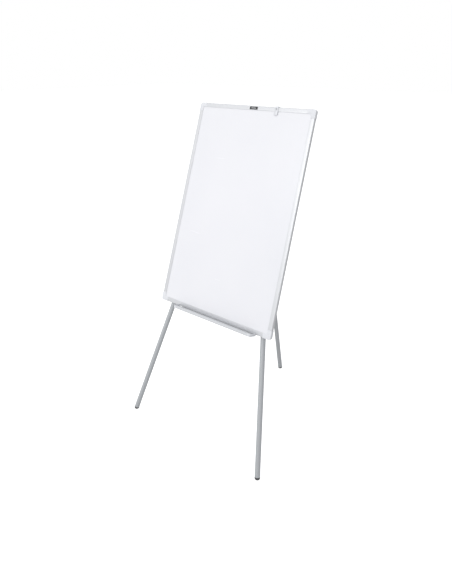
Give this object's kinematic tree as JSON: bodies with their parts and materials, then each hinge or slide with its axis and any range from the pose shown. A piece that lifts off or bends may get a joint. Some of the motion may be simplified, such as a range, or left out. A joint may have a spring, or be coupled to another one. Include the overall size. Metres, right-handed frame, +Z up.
{
  "type": "flipchart easel",
  "caption": "Framed dry-wipe steel board leaning back on a folding telescopic tripod, with a pen tray under it and a sliding paper hook on the top rail.",
  "frame": {"origin": "on the floor, below the middle of the footprint of the three feet", "axes": "+X to the right of someone facing the board, +Y to the back, towards the rear leg, +Z up"},
  "size_m": [0.813, 0.8233, 1.5919],
  "materials": {
    "white_lacquer": "glossy white dry-wipe lacquer on steel",
    "board_core": "brown paper honeycomb",
    "backing_zinc": "galvanised sheet, dull",
    "satin_aluminium": "satin anodised",
    "corner_plastic": "light grey, fine grain",
    "badge_black": "black, printed with a plain band",
    "hook_plastic": "translucent grey",
    "leg_grey": "silver-grey powder coat",
    "zinc_plate": "bright zinc plate",
    "fastener_zinc": "zinc-plated",
    "black_plastic": "black, fine grain",
    "nylon": "natural nylon",
    "foot_rubber": "black, matt"
  },
  "bodies": {
    "board": {"writing_sheet": "white_lacquer", "board_core": "board_core", "backing_sheet": "backing_zinc", "rail_top": "satin_aluminium", "rail_bottom": "satin_aluminium", "rail_left": "satin_aluminium", "rail_right": "satin_aluminium", "corner_top_left": "corner_plastic", "corner_top_right": "corner_plastic", "corner_bottom_left": "corner_plastic", "corner_bottom_right": "corner_plastic", "name_badge": "badge_black", "pen_tray": "satin_aluminium", "tray_cap_left": "corner_plastic", "tray_cap_right": "corner_plastic", "tray_screw_left": "fastener_zinc", "tray_screw_right": "fastener_zinc", "head_bracket": "zinc_plate", "head_screw_top_left": "fastener_zinc", "head_screw_top_right": "fastener_zinc", "head_screw_low_left": "fastener_zinc", "head_screw_low_right": "fastener_zinc", "pivot_stud_left": "fastener_zinc", "pivot_stud_right": "fastener_zinc", "pivot_spacer_left": "nylon", "pivot_spacer_right": "nylon", "pivot_nut_left": "fastener_zinc", "pivot_nut_right": "fastener_zinc", "rear_hinge_pin": "fastener_zinc", "rear_hinge_nut": "fastener_zinc", "leg_catch_left": "zinc_plate", "leg_catch_right": "zinc_plate", "catch_screw_left_upper": "fastener_zinc", "catch_screw_left_lower": "fastener_zinc", "catch_screw_right_upper": "fastener_zinc", "catch_screw_right_lower": "fastener_zinc"},
    "left_leg": {"left_leg_upper_tube": "leg_grey", "left_leg_top_plug": "black_plastic", "left_leg_clamp_collar": "black_plastic"},
    "left_leg_extension": {"left_leg_lower_tube": "leg_grey", "left_leg_glide_bush": "nylon", "left_leg_foot": "foot_rubber"},
    "left_leg_clamp": {"left_leg_clamp_knob": "black_plastic"},
    "right_leg": {"right_leg_upper_tube": "leg_grey", "right_leg_top_plug": "black_plastic", "right_leg_clamp_collar": "black_plastic"},
    "right_leg_extension": {"right_leg_lower_tube": "leg_grey", "right_leg_glide_bush": "nylon", "right_leg_foot": "foot_rubber"},
    "right_leg_clamp": {"right_leg_clamp_knob": "black_plastic"},
    "rear_leg": {"rear_leg_upper_tube": "leg_grey", "rear_leg_top_plug": "black_plastic", "rear_leg_clamp_collar": "black_plastic"},
    "rear_leg_extension": {"rear_leg_lower_tube": "leg_grey", "rear_leg_glide_bush": "nylon", "rear_leg_foot": "foot_rubber"},
    "rear_leg_clamp": {"rear_leg_clamp_knob": "black_plastic"},
    "hook": {"paper_hook": "hook_plastic"},
    "hook_clamp": {"hook_screw": "black_plastic"}
  },
  "joints": [
    {"name": "left_leg_fold", "type": "hinge", "parent": "board", "child": "left_leg", "pos_m": [-0.1, 0.10095, 1.50145], "axis": [0, -0.9483, 0.3173], "range_deg": [0, 10.57]},
    {"name": "left_leg_extend", "type": "slide", "parent": "left_leg", "child": "left_leg_extension", "axis": [-0.1834, -0.3119, -0.9322], "range_m": [-0.63, 0.1]},
    {"name": "left_leg_clamp_turn", "type": "hinge", "parent": "left_leg", "child": "left_leg_clamp", "pos_m": [-0.27462, -0.19599, 0.614], "axis": [0, 0.9483, -0.3173], "range_deg": [0, 360]},
    {"name": "right_leg_fold", "type": "hinge", "parent": "board", "child": "right_leg", "pos_m": [0.1, 0.10095, 1.50145], "axis": [0, 0.9483, -0.3173], "range_deg": [0, 10.57]},
    {"name": "right_leg_extend", "type": "slide", "parent": "right_leg", "child": "right_leg_extension", "axis": [0.1834, -0.3119, -0.9322], "range_m": [-0.63, 0.1]},
    {"name": "right_leg_clamp_turn", "type": "hinge", "parent": "right_leg", "child": "right_leg_clamp", "pos_m": [0.27462, -0.19599, 0.614], "axis": [0, 0.9483, -0.3173], "range_deg": [0, 360]},
    {"name": "rear_leg_fold", "type": "hinge", "parent": "board", "child": "rear_leg", "pos_m": [0, 0.10788, 1.47804], "axis": [-1, 0, 0], "range_deg": [0, 29.7]},
    {"name": "rear_leg_extend", "type": "slide", "parent": "rear_leg", "child": "rear_leg_extension", "axis": [0, 0.1942, -0.981], "range_m": [-0.57, 0.1]},
    {"name": "rear_leg_clamp_turn", "type": "hinge", "parent": "rear_leg", "child": "rear_leg_clamp", "pos_m": [0, 0.28483, 0.58439], "axis": [0, 0.981, 0.1942], "range_deg": [0, 360]},
    {"name": "hook_slide", "type": "slide", "parent": "board", "child": "hook", "axis": [1, 0, 0], "range_m": [-0.096, 0.155]},
    {"name": "hook_screw_turn", "type": "hinge", "parent": "hook", "child": "hook_clamp", "pos_m": [0.131, 0.10562, 1.57845], "axis": [0, 0.9483, -0.3173], "range_deg": [0, 360]}
  ]
}
